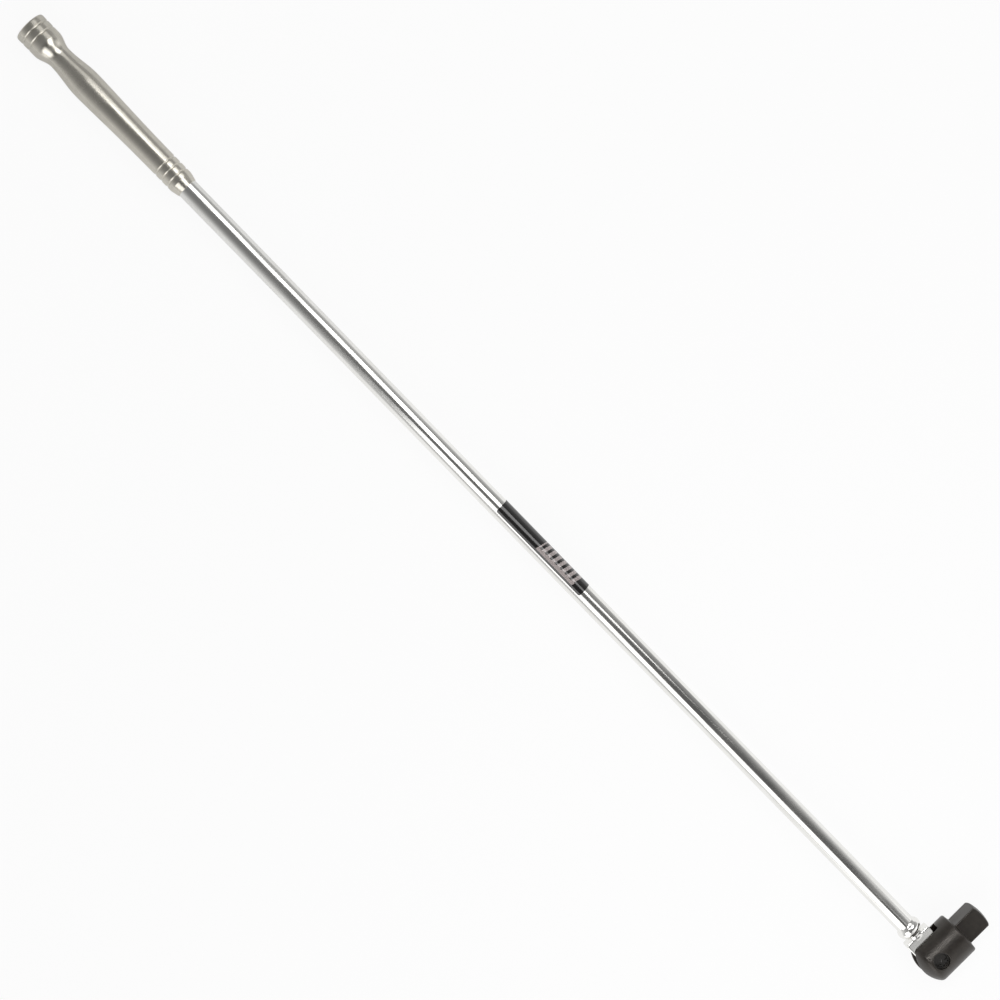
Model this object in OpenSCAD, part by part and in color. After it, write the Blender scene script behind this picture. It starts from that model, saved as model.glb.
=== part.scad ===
// Breaker bar: a square drive head that swings on the flattened end of a long round bar with a turned grip.
// The bar lies along X with the head at its +X end, the drive points to +Y and the hinge pin stands along Z.
// The origin is the centre of the drive where it leaves the head's shoulder.

/* [Overall] */
// Length from the end of the grip to the far side of the head
overall_length = 1000; // [700:10:1200]

/* [Bar] */
// Diameter of the round bar
bar_d = 16; // [14:0.5:17.5]
// Diameter of the bead behind the tongue
bead_d = 20; // [18.5:0.5:24]
// Width of the bead's round back
bead_round = 11; // [9:0.5:14]
// Distance from the tongue's shoulder to the middle of the bead
bead_offset = 7.5; // [5.5:0.5:15]
// Radius of the hollow between the bar and the bead
bead_hollow_r = 4; // [2:0.5:8]
// Diameter of the bar's spigot in the tongue piece
spigot_d = 10; // [8:0.5:11]
// Length of the bar's spigot
spigot_length = 11; // [6:0.5:13]

/* [Tongue] */
// Width of the flat tongue, and diameter of its round eye
tongue_width = 23.4; // [20:0.2:26]
// Gap on each side between the tongue and the slot
tongue_side_gap = 0.2; // [0.1:0.05:0.5]
// Radius of the corners at the tongue's shoulder
tongue_corner_r = 1.5; // [0.5:0.5:4]
// Gap between the swinging cheeks and the tongue's shoulder
shoulder_gap = 4.4; // [2:0.2:10]

/* [Head] */
// Diameter of the head
head_d = 36; // [34:0.5:44]
// Distance from the pin axis to the shoulder under the drive
shoulder_height = 26; // [24:0.5:32]
// Distance from the pin axis to the domed end
foot_height = 16.5; // [14:0.5:20]
// Radius of the domed end
dome_r = 25; // [20:1:40]
// Radius of the rounded edge at the shoulder
shoulder_edge_r = 1.3; // [0.5:0.1:2.5]
// Width of the slot that takes the tongue
slot_width = 12; // [10:0.5:15]
// Gap between the tongue's eye and the end of the slot
slot_end_gap = 4.3; // [3:0.1:6]

/* [Square drive] */
// Width across the flats of the drive
drive_size = 19.05; // [18:0.05:21]
// Length of the drive beyond the shoulder
drive_length = 22.7; // [20:0.1:30]
// How much is turned off each long corner
drive_corner_trim = 0.3; // [0.1:0.05:1.5]
// Radius of the domed tip
drive_tip_r = 34; // [18:1:60]
// Height of the chamfer turned on the corners of the tip
drive_tip_chamfer = 3; // [2:0.1:5]
// Height of the cone that joins the drive to the shoulder
drive_root = 0.6; // [0.3:0.1:2]

/* [Hinge] */
// Diameter of the hinge pin
pin_d = 11; // [9:0.5:12]
// Running gap round the pin in the eye
pin_gap = 0.05; // [0.03:0.01:0.1]
// Chamfer on the ends of the pin
pin_chamfer = 0.6; // [0.3:0.1:1]
// Ledge that the counterbore leaves round the pin
ring_ledge = 1; // [0.7:0.1:1.5]
// Depth of a retaining ring below the side of the head
ring_depth = 3.2; // [2.6:0.1:5]
// Thickness of a retaining ring
ring_thickness = 1; // [0.8:0.1:1.4]
// Width of a retaining ring
ring_width = 1.6; // [1.2:0.1:2]
// Depth of the groove that holds a retaining ring
ring_groove = 0.4; // [0.3:0.05:0.6]
// Gap between the ends of a retaining ring, in degrees
ring_opening = 50; // [40:5:70]
// Diameter of the plier hole in each ring end
ring_hole_d = 1.2; // [0.8:0.1:1.4]

/* [Friction plunger] */
// Diameter of the plunger
plunger_d = 7; // [5:0.5:9]
// Length of the plunger
plunger_length = 9; // [7:0.5:11]
// Depth of the plunger's bore from the end of the slot
plunger_bore_depth = 16.6; // [14:0.1:18]
// Gap between the plunger's nose and the tongue's eye
plunger_nose_gap = 0.05; // [0.03:0.01:0.1]
// Chamfer on the plunger's ends
plunger_chamfer = 0.5; // [0.2:0.1:1]
// Wire of the plunger's spring
plunger_wire_d = 1; // [0.6:0.1:1.2]
// Turns of the plunger's spring
plunger_turns = 6; // [4:1:7]

/* [Drive ball] */
// Diameter of the ball
ball_d = 6.4; // [5:0.1:7]
// How far the ball stands out of the drive's side
ball_reach = 1.5; // [1:0.1:1.8]
// Distance of the ball from the shoulder
ball_height = 12; // [11:0.5:14]
// Lip left at the mouth of the ball's hole
ball_lip = 0.35; // [0.25:0.05:0.5]
// Depth of the ball's hole
ball_hole_depth = 12; // [10:0.5:15]
// Wire of the ball's spring
ball_wire_d = 0.6; // [0.4:0.1:0.8]
// Turns of the ball's spring
ball_turns = 5; // [3:1:6]

/* [Grip] */
// Diameter of the collar at the end of the grip
collar_d = 25; // [22:0.5:30]
// Length of the collar's straight part
collar_length = 18; // [17:0.5:30]
// Radius of the collar's outer edge
collar_edge_r = 2; // [1:0.25:2.5]
// Length over which the collar falls to the neck
collar_fall = 13.5; // [8:0.5:20]
// Diameter of the neck
neck_d = 18.2; // [18.2:0.2:24]
// Length from the neck to the widest place of the swell
swell_rise = 27; // [20:1:50]
// Diameter of the swell
swell_d = 23; // [20:0.5:28]
// Length over which the swell tapers to the front
swell_taper = 77; // [50:1:120]
// Diameter of the straight front
front_d = 20; // [19:0.5:24]
// Length of the straight front
front_length = 20; // [18:0.5:40]
// Length of the cone from the front down to the bar
front_cone = 6.5; // [3:0.5:12]
// Wall left at the thin end of that cone
front_cone_wall = 0.5; // [0.3:0.1:1]
// Number of grooves in the collar
collar_grooves = 2; // [0:1:2]
// Number of grooves in the straight front
front_grooves = 3; // [0:1:3]
// Distance from the collar's end to its first groove
collar_groove_start = 6.1; // [4:0.1:7]
// Distance from the start of the front to its first groove
front_groove_start = 3.4; // [2:0.2:5]
// Distance between neighbouring grooves
groove_pitch = 6.1; // [4:0.1:7]
// Radius of a groove
groove_r = 1; // [0.6:0.1:1.4]
// Depth of a groove
groove_depth = 0.65; // [0.3:0.05:1]
// Diameter of the end plug
plug_d = 18; // [17.8:0.1:20]
// Thickness of the end plug
plug_thickness = 4; // [2.5:0.5:8]
// Height of the end plug's dome
plug_dome = 0.8; // [0.3:0.1:1.5]

/* [Label] */
// Distance from the end of the grip to the label
label_start = 492; // [200:1:600]
// Length of the label
label_length = 90; // [40:1:150]
// Thickness of the label
label_thickness = 0.15; // [0.1:0.05:0.4]
// How far the label goes round the bar, in degrees
label_wrap = 220; // [90:5:340]
// Turn of the label's middle from the drive's side of the bar, in degrees
label_turn = 6; // [-180:1:180]

/* [Fits] */
// Gap between a piece and its close seat
seat_gap = 0.03; // [0.02:0.01:0.06]
// Gap round a piece that slides in a bore
slide_gap = 0.08; // [0.04:0.01:0.12]
// Gap between a spring and its seats
spring_gap = 0.1; // [0.05:0.01:0.2]

/* [Hidden] */
$fn = 96;

chrome = [0.80, 0.80, 0.82];
phosphate = [0.14, 0.13, 0.13];
steel = [0.55, 0.55, 0.57];
label_black = [0.05, 0.05, 0.06];

// How far cutting shapes run past the faces that they cut
past = 1;

bar_r = bar_d / 2;
head_r = head_d / 2;
pin_y = -shoulder_height;
foot_y = pin_y - foot_height;
grip_end_x = -(overall_length - head_r);

// Tongue and the swing of the cheeks past its shoulder
tongue_thickness = slot_width - 2 * tongue_side_gap;
dome_rise = dome_r - sqrt(pow(max(dome_r, head_r), 2) - pow(head_r, 2));
cheek_half = sqrt(pow(head_r, 2) - pow(slot_width / 2, 2));
cheek_swing = norm([cheek_half, foot_height - dome_rise]);
tongue_reach = cheek_swing + shoulder_gap;
bead_x = -tongue_reach - bead_offset;

// Bead, and the hollow that meets the bar where the two are joined
bead_centre = bead_d / 2 - bead_round / 2;
hollow_centre = bar_r + bead_hollow_r;
hollow_reach = bead_round / 2 + bead_hollow_r;
hollow_rise = hollow_centre - bead_centre;
hollow_back = sqrt(pow(hollow_reach, 2) - pow(hollow_rise, 2));
joint_x = bead_x - hollow_back;

// Slot, plunger and the plunger's bore, along the head's axis
slot_end_y = pin_y + tongue_width / 2 + slot_end_gap;
nose_y = pin_y + tongue_width / 2 + plunger_nose_gap;
plunger_back_y = nose_y + plunger_length;
plunger_bore_y = slot_end_y + plunger_bore_depth;
plunger_bore_d = plunger_d + 2 * slide_gap;

// Hinge pin and its retaining rings
ring_bore_r = pin_d / 2 + ring_ledge;
ring_groove_r = ring_bore_r + ring_groove;
ring_outer_z = head_r - ring_depth;
ring_inner_z = ring_outer_z - ring_thickness;
ring_r = ring_groove_r - slide_gap;
ring_lug_r = ring_width;
pin_half = ring_inner_z - seat_gap;

// Drive and its ball
drive_half = drive_size / 2;
drive_corner_r = drive_half * sqrt(2) - drive_corner_trim;
ball_r = ball_d / 2;
ball_x = drive_half + ball_reach - ball_r;
ball_hole_r = ball_r + slide_gap;
ball_hole_x = drive_half - ball_hole_depth;
ball_mouth_x = drive_half - ball_lip;
ball_mouth_r = sqrt(pow(ball_r, 2) - pow(ball_mouth_x - ball_x, 2)) + slide_gap;

// Stations along the grip, from its end
neck_at = collar_length + collar_fall;
swell_at = neck_at + swell_rise;
front_at = swell_at + swell_taper;
cone_at = front_at + front_length;
grip_length = cone_at + front_cone;
sleeve_bore_d = bar_d + 2 * seat_gap;
plug_seat_d = plug_d + 2 * seat_gap;
curve_steps = 14;
// Below 1, the taper falls sooner
taper_lead = 0.75;

// Spring sections
wire_sides = 6;
rings_per_turn = 8;

// Smooth step from a to b as u goes from 0 to 1
function ease(a, b, u) = a + (b - a) * (1 - cos(180 * u)) / 2;

// Outline of the grip between the collar's edge and the cone, as [radius, distance from the end]
function grip_outline() = concat(
    [for (i = [0 : curve_steps])
        let (u = i / curve_steps) [ease(collar_d, neck_d, u) / 2, collar_length + collar_fall * u]],
    [for (i = [1 : curve_steps])
        let (u = i / curve_steps) [ease(neck_d, swell_d, u) / 2, neck_at + swell_rise * u]],
    [for (i = [1 : 2 * curve_steps])
        let (u = i / (2 * curve_steps))
        [ease(swell_d, front_d, pow(u, taper_lead)) / 2, swell_at + swell_taper * u]]
);

// Point on the wire's skin: turn angle round the coil, side angle round the wire, height up the coil
function wire_point(turn, side, coil_r, wire_r, height) =
    let (reach = coil_r + wire_r * cos(side))
    [reach * cos(turn), reach * sin(turn), height + wire_r * sin(side)];

// Stands its children on the bar's axis, with their own Z along the bar, at a distance from the grip's end
module on_bar(distance) {
    translate([grip_end_x + distance, pin_y, 0]) rotate([0, 90, 0]) children();
}

// Stands its children on the head's axis, with their own Z along the drive, at a height from the shoulder
module on_head(height) {
    translate([0, height, 0]) rotate([-90, 0, 0]) children();
}

// Stands its children on the ball's axis, with their own Z pointing out of the drive
module on_ball(distance) {
    translate([distance, ball_height, 0]) rotate([0, 90, 0]) children();
}

// Stands its children on the pin's axis
module on_pin(height) {
    translate([0, pin_y, height]) children();
}

module chamfered_rod(d, length, chamfer) {
    rotate_extrude() polygon([
        [0, 0],
        [d / 2 - chamfer, 0],
        [d / 2, chamfer],
        [d / 2, length - chamfer],
        [d / 2 - chamfer, length],
        [0, length]
    ]);
}

// Coil of round wire that stands on Z = 0, as one unbroken tube
module coil_spring(length, outer_d, wire_d, turns) {
    wire_r = wire_d / 2;
    coil_r = outer_d / 2 - wire_r;
    rings = turns * rings_per_turn;
    climb = (length - wire_d) / rings;
    points = [for (i = [0 : rings]) for (k = [0 : wire_sides - 1])
        wire_point(360 * i / rings_per_turn, 360 * k / wire_sides, coil_r, wire_r, wire_r + climb * i)];
    skin = [for (i = [0 : rings - 1]) for (k = [0 : wire_sides - 1])
        let (a = i * wire_sides + k, b = i * wire_sides + (k + 1) % wire_sides)
        each [[a, b, b + wire_sides], [a, b + wire_sides, a + wire_sides]]];
    start_cap = [for (k = [1 : wire_sides - 2]) [0, k + 1, k]];
    last = rings * wire_sides;
    end_cap = [for (k = [1 : wire_sides - 2]) [last, last + k, last + k + 1]];
    polyhedron(points, concat(skin, start_cap, end_cap));
}

// Half outline of the bead, its hollow and the neck that runs into the tongue
module bead_outline() {
    touch = bead_round / 2 / hollow_reach;
    intersection() {
        translate([0, -hollow_back]) square([bead_d, hollow_back + bead_offset]);
        union() {
            translate([bead_centre, 0]) circle(d = bead_round);
            difference() {
                polygon([
                    [0, 0],
                    [0, -hollow_back],
                    [bar_r, -hollow_back],
                    [bead_centre + hollow_rise * touch, -hollow_back * touch]
                ]);
                translate([hollow_centre, -hollow_back]) circle(r = bead_hollow_r);
            }
            square([bar_r, bead_offset]);
        }
    }
}

module tongue_outline() {
    half = tongue_width / 2;
    corner_x = -tongue_reach + tongue_corner_r;
    corner_y = half - tongue_corner_r;
    circle(r = half);
    translate([corner_x, -half]) square([-corner_x, tongue_width]);
    translate([-tongue_reach, -corner_y]) square([tongue_reach, 2 * corner_y]);
    for (side = [-1, 1]) translate([corner_x, side * corner_y]) circle(r = tongue_corner_r);
}

module bar() {
    joint_at = joint_x - grip_end_x;
    color(chrome) {
        on_bar(plug_thickness) cylinder(d = bar_d, h = joint_at - seat_gap - plug_thickness);
        on_bar(plug_thickness) cylinder(d = spigot_d, h = joint_at + spigot_length - plug_thickness);
    }
}

module hinge_tongue() {
    color(chrome) difference() {
        union() {
            on_bar(bead_x - grip_end_x) rotate_extrude() bead_outline();
            on_pin(-tongue_thickness / 2) linear_extrude(tongue_thickness) tongue_outline();
        }
        on_pin(-head_r) cylinder(d = pin_d + 2 * pin_gap, h = head_d);
        on_bar(joint_x - grip_end_x - past)
            cylinder(d = spigot_d + 2 * seat_gap, h = spigot_length + seat_gap + past);
    }
}

module groove(edge_r, distance) {
    translate([edge_r + groove_r - groove_depth, distance]) circle(r = groove_r);
}

module grip_half_section() {
    collar_r = collar_d / 2;
    difference() {
        union() {
            translate([0, collar_edge_r]) square([collar_r, collar_length - collar_edge_r]);
            square([collar_r - collar_edge_r, collar_edge_r]);
            translate([collar_r - collar_edge_r, collar_edge_r]) circle(r = collar_edge_r);
            polygon(concat([[0, collar_length]], grip_outline(), [
                [front_d / 2, cone_at],
                [bar_r + front_cone_wall, grip_length],
                [0, grip_length]
            ]));
        }
        translate([0, -past]) square([sleeve_bore_d / 2, grip_length + 2 * past]);
        translate([0, -past]) square([plug_seat_d / 2, plug_thickness + past]);
        for (i = [0 : 1 : collar_grooves - 1]) groove(collar_r, collar_groove_start + i * groove_pitch);
        for (i = [0 : 1 : front_grooves - 1])
            groove(front_d / 2, front_at + front_groove_start + i * groove_pitch);
    }
}

module grip_sleeve() {
    color(chrome) on_bar(0) rotate_extrude() grip_half_section();
}

module grip_end_plug() {
    plug_r = plug_d / 2;
    cap_r = (pow(plug_r, 2) + pow(plug_dome, 2)) / (2 * plug_dome);
    color(chrome) on_bar(0) rotate_extrude() intersection() {
        square([plug_r, plug_thickness - seat_gap]);
        translate([0, cap_r]) circle(r = cap_r);
    }
}

module label_band() {
    inner_r = bar_r + seat_gap;
    color(label_black) on_bar(label_start) rotate([0, 0, 90 + label_turn - label_wrap / 2])
        rotate_extrude(angle = label_wrap) translate([inner_r, 0]) square([label_thickness, label_length]);
}

// Half outline of the head under the shoulder, with the domed end and the rounded shoulder edge
module head_outline() {
    edge = shoulder_edge_r;
    dome_y = foot_y + dome_r;
    intersection() {
        union() {
            translate([0, foot_y]) square([head_r, -foot_y - edge]);
            translate([0, foot_y]) square([head_r - edge, -foot_y]);
            translate([head_r - edge, -edge]) circle(r = edge);
        }
        union() {
            translate([0, dome_y]) circle(r = dome_r);
            translate([0, dome_y]) square([head_r + past, dome_r + past - dome_y]);
        }
        translate([0, foot_y]) square([head_r, -foot_y]);
    }
}

// Square drive with turned corners, a domed and chamfered tip and a cone at its root
module drive() {
    on_head(-past) intersection() {
        translate([-drive_half, -drive_half, 0]) cube([drive_size, drive_size, drive_length + past]);
        union() {
            cylinder(r = drive_corner_r, h = drive_length + past - drive_tip_chamfer);
            translate([0, 0, drive_length + past - drive_tip_chamfer])
                cylinder(r1 = drive_corner_r, r2 = drive_corner_r - drive_tip_chamfer, h = drive_tip_chamfer);
        }
        translate([0, 0, drive_length + past - drive_tip_r]) sphere(r = drive_tip_r);
    }
    on_head(0) cylinder(r1 = drive_corner_r + drive_root, r2 = drive_corner_r, h = drive_root);
}

module clevis_head() {
    color(phosphate) difference() {
        union() {
            on_head(0) rotate_extrude() head_outline();
            drive();
        }
        translate([-head_r - past, foot_y - past, -slot_width / 2])
            cube([head_d + 2 * past, slot_end_y - foot_y + past, slot_width]);
        on_pin(-head_r) cylinder(d = pin_d + 2 * seat_gap, h = head_d);
        for (side = [0, 1]) on_pin(0) mirror([0, 0, side]) {
            translate([0, 0, ring_inner_z]) cylinder(r = ring_groove_r, h = ring_thickness + slide_gap);
            translate([0, 0, ring_inner_z]) cylinder(r = ring_bore_r, h = ring_depth + ring_thickness + past);
        }
        on_head(slot_end_y - past) cylinder(d = plunger_bore_d, h = plunger_bore_depth + past);
        on_ball(ball_hole_x) cylinder(r = ball_hole_r, h = ball_mouth_x - ball_hole_x);
        on_ball(ball_mouth_x - past) cylinder(r = ball_mouth_r, h = ball_lip + 2 * past);
    }
}

module hinge_pin() {
    color(steel) on_pin(-pin_half) chamfered_rod(pin_d, 2 * pin_half, pin_chamfer);
}

// Snap ring with a plier hole in each end, lying on Z = 0
module retaining_ring() {
    lug_at = ring_bore_r - seat_gap - ring_lug_r;
    half_opening = ring_opening / 2;
    lug_turn = half_opening + asin(ring_lug_r / lug_at);
    linear_extrude(ring_thickness) difference() {
        union() {
            difference() {
                circle(r = ring_r);
                circle(r = ring_r - ring_width);
                polygon([
                    [0, 0],
                    2 * ring_r * [cos(lug_turn), -sin(lug_turn)],
                    2 * ring_r * [cos(lug_turn), sin(lug_turn)]
                ]);
            }
            for (side = [-1, 1]) rotate(side * lug_turn) translate([lug_at, 0]) circle(r = ring_lug_r);
        }
        for (side = [-1, 1]) rotate(side * lug_turn) translate([lug_at, 0]) circle(d = ring_hole_d);
    }
}

module upper_retaining_ring() {
    color(steel) on_pin(ring_inner_z + slide_gap / 2) retaining_ring();
}

module lower_retaining_ring() {
    color(steel) on_pin(0) mirror([0, 0, 1]) translate([0, 0, ring_inner_z + slide_gap / 2]) retaining_ring();
}

module friction_plunger() {
    color(steel) on_head(nose_y) chamfered_rod(plunger_d, plunger_length, plunger_chamfer);
}

module friction_spring() {
    length = plunger_bore_y - plunger_back_y - 2 * spring_gap;
    color(steel) on_head(plunger_back_y + spring_gap)
        coil_spring(length, plunger_d - 2 * plunger_chamfer, plunger_wire_d, plunger_turns);
}

module drive_ball() {
    color(steel) on_ball(ball_x) sphere(d = ball_d);
}

module drive_ball_spring() {
    length = ball_x - ball_r - ball_hole_x - 2 * spring_gap;
    color(steel) on_ball(ball_hole_x + spring_gap)
        coil_spring(length, ball_d - ball_wire_d, ball_wire_d, ball_turns);
}

bar();
hinge_tongue();
grip_sleeve();
grip_end_plug();
label_band();
clevis_head();
hinge_pin();
upper_retaining_ring();
lower_retaining_ring();
friction_plunger();
friction_spring();
drive_ball();
drive_ball_spring();
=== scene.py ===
import math

import bmesh
import bpy
import numpy as np
from mathutils import Matrix, Vector


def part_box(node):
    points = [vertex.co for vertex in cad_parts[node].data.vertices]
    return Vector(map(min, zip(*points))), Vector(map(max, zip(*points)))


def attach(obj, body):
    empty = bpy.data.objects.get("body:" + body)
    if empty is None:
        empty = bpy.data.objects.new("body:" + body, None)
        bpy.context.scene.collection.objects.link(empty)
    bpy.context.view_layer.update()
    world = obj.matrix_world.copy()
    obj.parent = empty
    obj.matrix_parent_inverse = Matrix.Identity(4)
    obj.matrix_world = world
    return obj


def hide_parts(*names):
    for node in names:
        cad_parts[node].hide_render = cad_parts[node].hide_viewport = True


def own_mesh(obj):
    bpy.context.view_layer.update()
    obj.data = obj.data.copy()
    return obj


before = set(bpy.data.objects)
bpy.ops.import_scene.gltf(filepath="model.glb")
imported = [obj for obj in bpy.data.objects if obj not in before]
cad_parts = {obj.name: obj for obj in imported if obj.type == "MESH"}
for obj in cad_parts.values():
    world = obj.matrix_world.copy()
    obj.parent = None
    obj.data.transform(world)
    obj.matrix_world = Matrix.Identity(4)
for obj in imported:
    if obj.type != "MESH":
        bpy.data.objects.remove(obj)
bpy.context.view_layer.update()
mm = 0.001
scene = bpy.context.scene
scene.view_settings.view_transform = "Standard"

barLow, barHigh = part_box("bar")
barY = (barLow.y + barHigh.y) / 2            # the bar's axis, and the pin's
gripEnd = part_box("grip_sleeve")[0].x         # stations on the grip are measured from here
headLow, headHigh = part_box("clevis_head")
print("frame loaded:", len(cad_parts), "nodes")

# the bench: camera, floor, room and soft panels

benchCamera = {
    "place": (-0.6507, -0.0214, 1.498),      # before it leans
    "lens": 72,
    "tilt": 6.0,      # degrees, towards the head
    "roll": 45.73,    # degrees, so that the bar runs corner to corner
    "lean": 1.2,      # degrees, round the bar's axis towards the head's domed end
}


def setUpCamera(c):
    data = bpy.data.cameras.new("benchCamera")
    data.lens = c["lens"]
    tilt, roll = math.radians(c["tilt"]), math.radians(c["roll"])
    look = Vector((math.sin(tilt), 0, -math.cos(tilt)))
    alongBar = Vector((math.cos(tilt), 0, math.sin(tilt)))
    acrossBar = Vector((0, 1, 0))
    right = math.cos(roll) * alongBar + math.sin(roll) * acrossBar
    up = math.cos(roll) * acrossBar - math.sin(roll) * alongBar
    turn = Matrix((right, up, -look)).transposed().to_4x4()
    camera = bpy.data.objects.new("benchCamera", data)
    scene.collection.objects.link(camera)
    axis = Matrix.Translation((0, barY, 0))
    lean = axis @ Matrix.Rotation(math.radians(c["lean"]), 4, "X") @ axis.inverted()
    camera.matrix_world = lean @ Matrix.Translation(c["place"]) @ turn
    scene.camera = camera


setUpCamera(benchCamera)


def addNode(tree, kind, inputs=None, **settings):      # inputs are plain values, or sockets to link
    node = tree.nodes.new("ShaderNode" + kind)
    for name, value in settings.items():
        setattr(node, name, value)
    for name, value in (inputs or {}).items():
        if isinstance(value, bpy.types.NodeSocket):
            tree.links.new(value, node.inputs[name])
        else:
            node.inputs[name].default_value = value
    return node


def calc(tree, operation, a, b=0.0, clamp=False):
    return addNode(tree, "Math", {0: a, 1: b}, operation=operation, use_clamp=clamp).outputs[0]


def remap(tree, value, fromLow, fromHigh, toLow=0.0, toHigh=1.0):
    ends = {"Value": value, "From Min": fromLow, "From Max": fromHigh, "To Min": toLow, "To Max": toHigh}
    return addNode(tree, "MapRange", ends).outputs[0]


def blendTones(tree, share, a, b):      # sockets 6 and 7 take the two colours, and 2 gives the blend
    return addNode(tree, "Mix", {0: share, 6: a, 7: b}, data_type="RGBA").outputs[2]


benchFloor = {
    "size": 24.0,
    "tone": (0.85, 0.85, 0.85, 1),
    "white": 0.92,                  # share of plain white that a camera sees
    "whiteMirroredPaintedShade": (0.10, 0.92),  # and that a reflection sees, near the grip and near the head: painted shade, dimmer near the grip
    "paintedShadeFrom": -0.95,
    "paintedShadeTo": -0.55,
}


def layFloor(f):
    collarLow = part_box("grip_sleeve")[0].z
    slope = math.atan2(collarLow - headLow.z, -gripEnd)      # the tool rests on its head and its collar
    mesh = bpy.data.meshes.new("benchFloor")
    bm = bmesh.new()
    bmesh.ops.create_grid(bm, x_segments=4, y_segments=4, size=f["size"] / 2)
    bm.to_mesh(mesh)
    bm.free()
    floor = bpy.data.objects.new("benchFloor", mesh)
    floor.matrix_world = Matrix.Translation((0, 0, headLow.z)) @ Matrix.Rotation(slope, 4, "Y")
    scene.collection.objects.link(floor)
    paper = bpy.data.materials.new("benchPaper")
    paper.use_nodes = True
    tree = paper.node_tree
    tree.nodes.clear()
    ray = addNode(tree, "LightPath").outputs
    mirrored = calc(tree, "ADD", ray["Is Glossy Ray"], ray["Is Transmission Ray"], True)
    direct = calc(tree, "MULTIPLY", ray["Is Camera Ray"], f["white"])
    along = addNode(tree, "SeparateXYZ", {0: addNode(tree, "NewGeometry").outputs["Position"]}).outputs["X"]
    # painted shade: reflections see the floor's white dimmer towards the grip, in place of the shade around
    # it
    mirroredWhiteWithPaintedShade = remap(tree, along, f["paintedShadeFrom"], f["paintedShadeTo"], *f["whiteMirroredPaintedShade"])
    share = calc(tree, "ADD", direct, calc(tree, "MULTIPLY", mirrored, mirroredWhiteWithPaintedShade), True)
    matt = addNode(tree, "BsdfDiffuse", {"Color": f["tone"]}).outputs[0]
    white = addNode(tree, "Emission", {"Strength": 1.0}).outputs[0]
    top = addNode(tree, "MixShader", {0: share, 1: matt, 2: white}).outputs[0]
    below = addNode(tree, "NewGeometry").outputs["Backfacing"]      # from underneath the floor is clear
    clear = addNode(tree, "BsdfTransparent").outputs[0]
    both = addNode(tree, "MixShader", {0: below, 1: top, 2: clear}).outputs[0]
    addNode(tree, "OutputMaterial", {"Surface": both})
    mesh.materials.append(paper)


layFloor(benchFloor)

room = {      # directions are parts of a length of one
    "overhead": (0.215, 0.050),    # over the grip, and beyond the head
    "overheadFrom": -0.2,
    "horizon": 0.37,
    "fall": 1.3,                   # how soon the tone falls above the horizon
    "sideGlow": 0.35,              # more light low down on the side away from the drive
    "driveGlow": 0.26,             # and on the drive's side, beside the middle of the bar
    "sideReach": 0.9,              # where both are full
    "driveMiddle": 0.05,
    "driveSpread": (0.05, 0.19),   # off the middle, where the drive's side starts to fade and where it ends
    "headGlow": 1.20,              # and beyond the head
    "headFrom": 0.25,
    "headTo": 0.41,
}


def paintRoom(r):
    world = bpy.data.worlds.new("benchRoom")
    world.use_nodes = True
    tree = world.node_tree
    tree.nodes.clear()
    direction = addNode(tree, "TexCoord").outputs["Generated"]
    parts = addNode(tree, "SeparateXYZ", {0: direction}).outputs
    side = remap(tree, parts["Y"], 0.0, -r["sideReach"], 0.0, r["sideGlow"])
    offMiddle = calc(tree, "ABSOLUTE", calc(tree, "SUBTRACT", parts["X"], r["driveMiddle"]))
    drive = calc(tree, "MULTIPLY", remap(tree, parts["Y"], 0.0, r["sideReach"], 0.0, r["driveGlow"]),
                 remap(tree, offMiddle, *r["driveSpread"], 1.0, 0.0))
    beyond = remap(tree, parts["X"], r["headFrom"], r["headTo"], 0.0, r["headGlow"])
    glow = calc(tree, "ADD", calc(tree, "ADD", side, drive), beyond)
    low = calc(tree, "ADD", glow, r["horizon"] - sum(r["overhead"]) / 2)
    share = calc(tree, "POWER", calc(tree, "SUBTRACT", 1.0, parts["Z"], True), r["fall"])
    over = remap(tree, parts["X"], r["overheadFrom"], r["headTo"], *r["overhead"])
    tone = calc(tree, "ADD", calc(tree, "MULTIPLY", low, share), over)
    back = addNode(tree, "Background", {"Color": tone, "Strength": 1.0})
    addNode(tree, "OutputWorld", {"Surface": back.outputs[0]})
    scene.world = world


paintRoom(room)

# where each panel hangs, the point it faces, its size along the bar and across it,
# its turn in degrees and how bright its face is
softPanels = {
    "panelBehindGrip": {"place": (-1.48, 0.97, 1.07), "faces": (-1.48, -0.026, 0), "size": (0.84, 0.68),
                        "turn": 0, "glow": 0.50},
    "panelOverGrip": {"place": (-0.96, 1.00, 1.10), "faces": (-0.96, -0.026, 0), "size": (0.16, 0.75),
                      "turn": 0, "glow": 1.75},
    "panelOverBar": {"place": (-0.56, 0.674, 1.334), "faces": (-0.56, -0.026, 0), "size": (0.92, 0.80),
                     "turn": -37, "glow": 2.4},
    "panelBesideBar": {"place": (0.48, -1.20, 1.18), "faces": (0.48, -0.026, 0), "size": (1.96, 1.2),
                       "turn": 0, "glow": 1.5},
    "panelBeyondHead": {"place": (1.30, 0.73, 1.37), "faces": (0.0, -0.026, 0), "size": (1.2, 2.2),
                        "turn": 0, "glow": 0.68},
}


def hangPanel(name, p):
    light = bpy.data.lights.new(name, "AREA")
    light.shape = "RECTANGLE"
    light.size, light.size_y = p["size"]
    light.energy = p["glow"] * math.pi * p["size"][0] * p["size"][1]
    lamp = bpy.data.objects.new(name, light)
    scene.collection.objects.link(lamp)
    out = (Vector(p["place"]) - Vector(p["faces"])).normalized()
    along = (Vector((1, 0, 0)) - out * out.x).normalized()
    turn = Matrix((along, out.cross(along), out)).transposed().to_4x4()
    spin = Matrix.Rotation(math.radians(p["turn"]), 4, "Z")
    lamp.matrix_world = Matrix.Translation(p["place"]) @ turn @ spin


for name, p in softPanels.items():
    hangPanel(name, p)

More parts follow.
